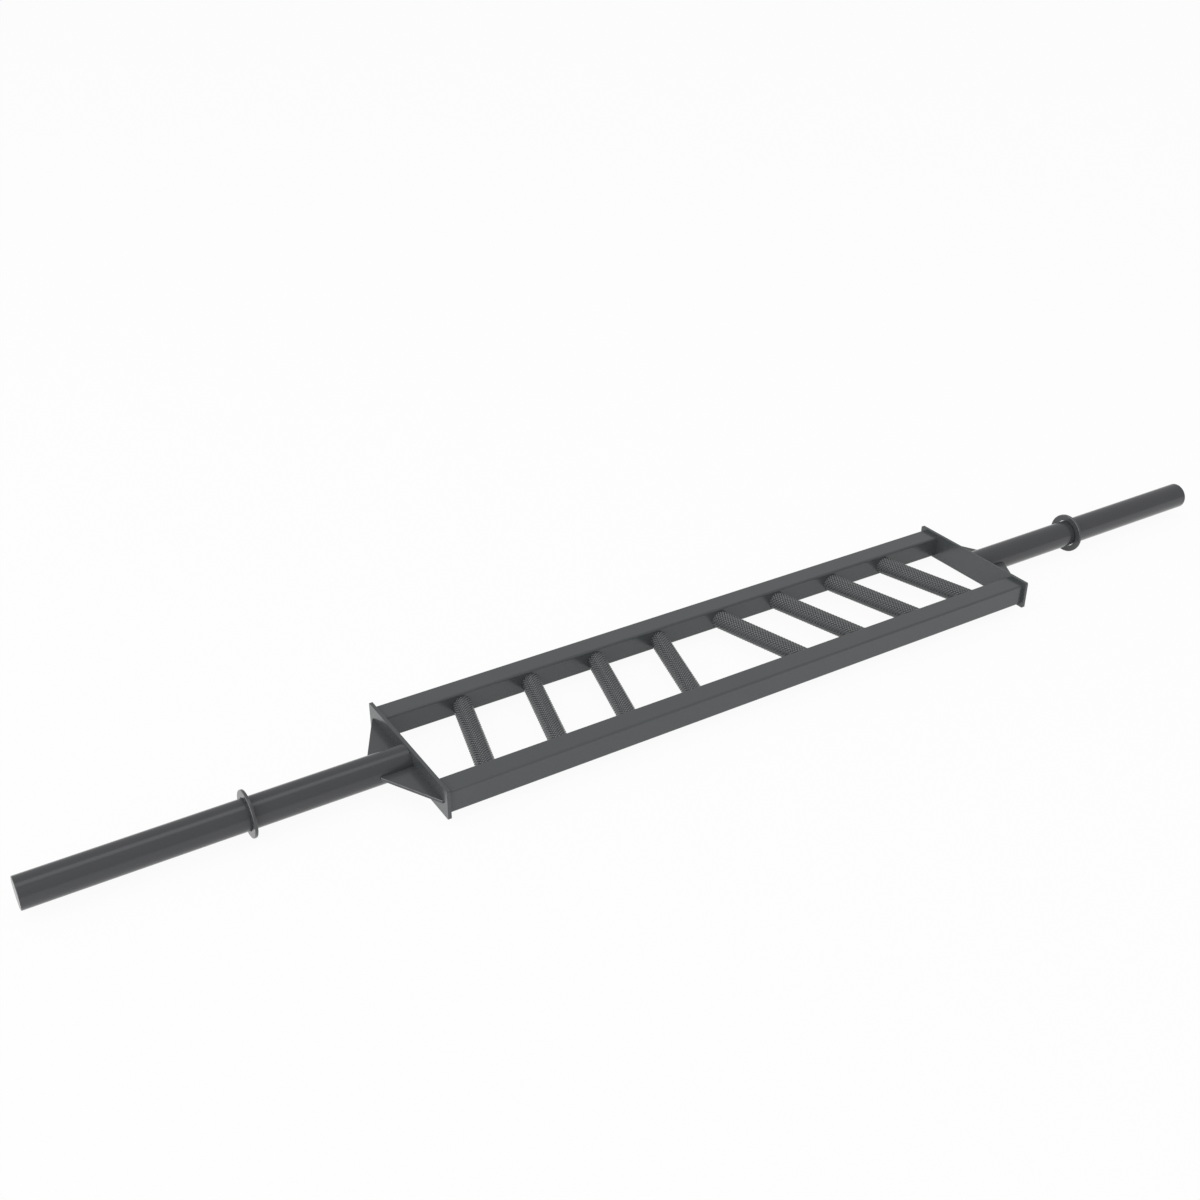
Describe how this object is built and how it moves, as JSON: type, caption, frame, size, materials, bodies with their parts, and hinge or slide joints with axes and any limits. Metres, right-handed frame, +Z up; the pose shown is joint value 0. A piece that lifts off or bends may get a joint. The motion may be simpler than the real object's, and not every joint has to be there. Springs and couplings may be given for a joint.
{
  "type": "swiss bar",
  "caption": "Long welded barbell whose middle is a flat ladder frame of two box rails joined by slanted knurled grips, with round plate sleeves, stop rings and gussets at the ends.",
  "frame": {"origin": "middle of the bar, on the axis of the sleeves", "axes": "+X along the bar, +Y from the front rail to the rear rail, +Z up with the bar lying flat"},
  "size_m": [2.362, 0.278, 0.075],
  "materials": {
    "frame_coat": "satin dark grey powder coat on welded steel",
    "sleeve_coat": "satin dark grey powder coat on steel tube",
    "sleeve_cap": "satin dark grey powder coat on a steel disc",
    "knurled_grip": "fine diamond knurl under a dark grey coat"
  },
  "bodies": {
    "root": {"rail_front": "frame_coat", "rail_rear": "frame_coat", "end_plate_left": "frame_coat", "end_plate_right": "frame_coat", "gusset_left_front": "frame_coat", "gusset_left_rear": "frame_coat", "gusset_right_front": "frame_coat", "gusset_right_rear": "frame_coat", "sleeve_left": "sleeve_coat", "sleeve_right": "sleeve_coat", "sleeve_cap_left": "sleeve_cap", "sleeve_cap_right": "sleeve_cap", "collar_left": "sleeve_coat", "collar_right": "sleeve_coat", "grip_left_1": "knurled_grip", "grip_left_2": "knurled_grip", "grip_left_3": "knurled_grip", "grip_left_4": "knurled_grip", "grip_right_1": "knurled_grip", "grip_right_2": "knurled_grip", "grip_right_3": "knurled_grip", "grip_right_4": "knurled_grip"}
  },
  "joints": []
}
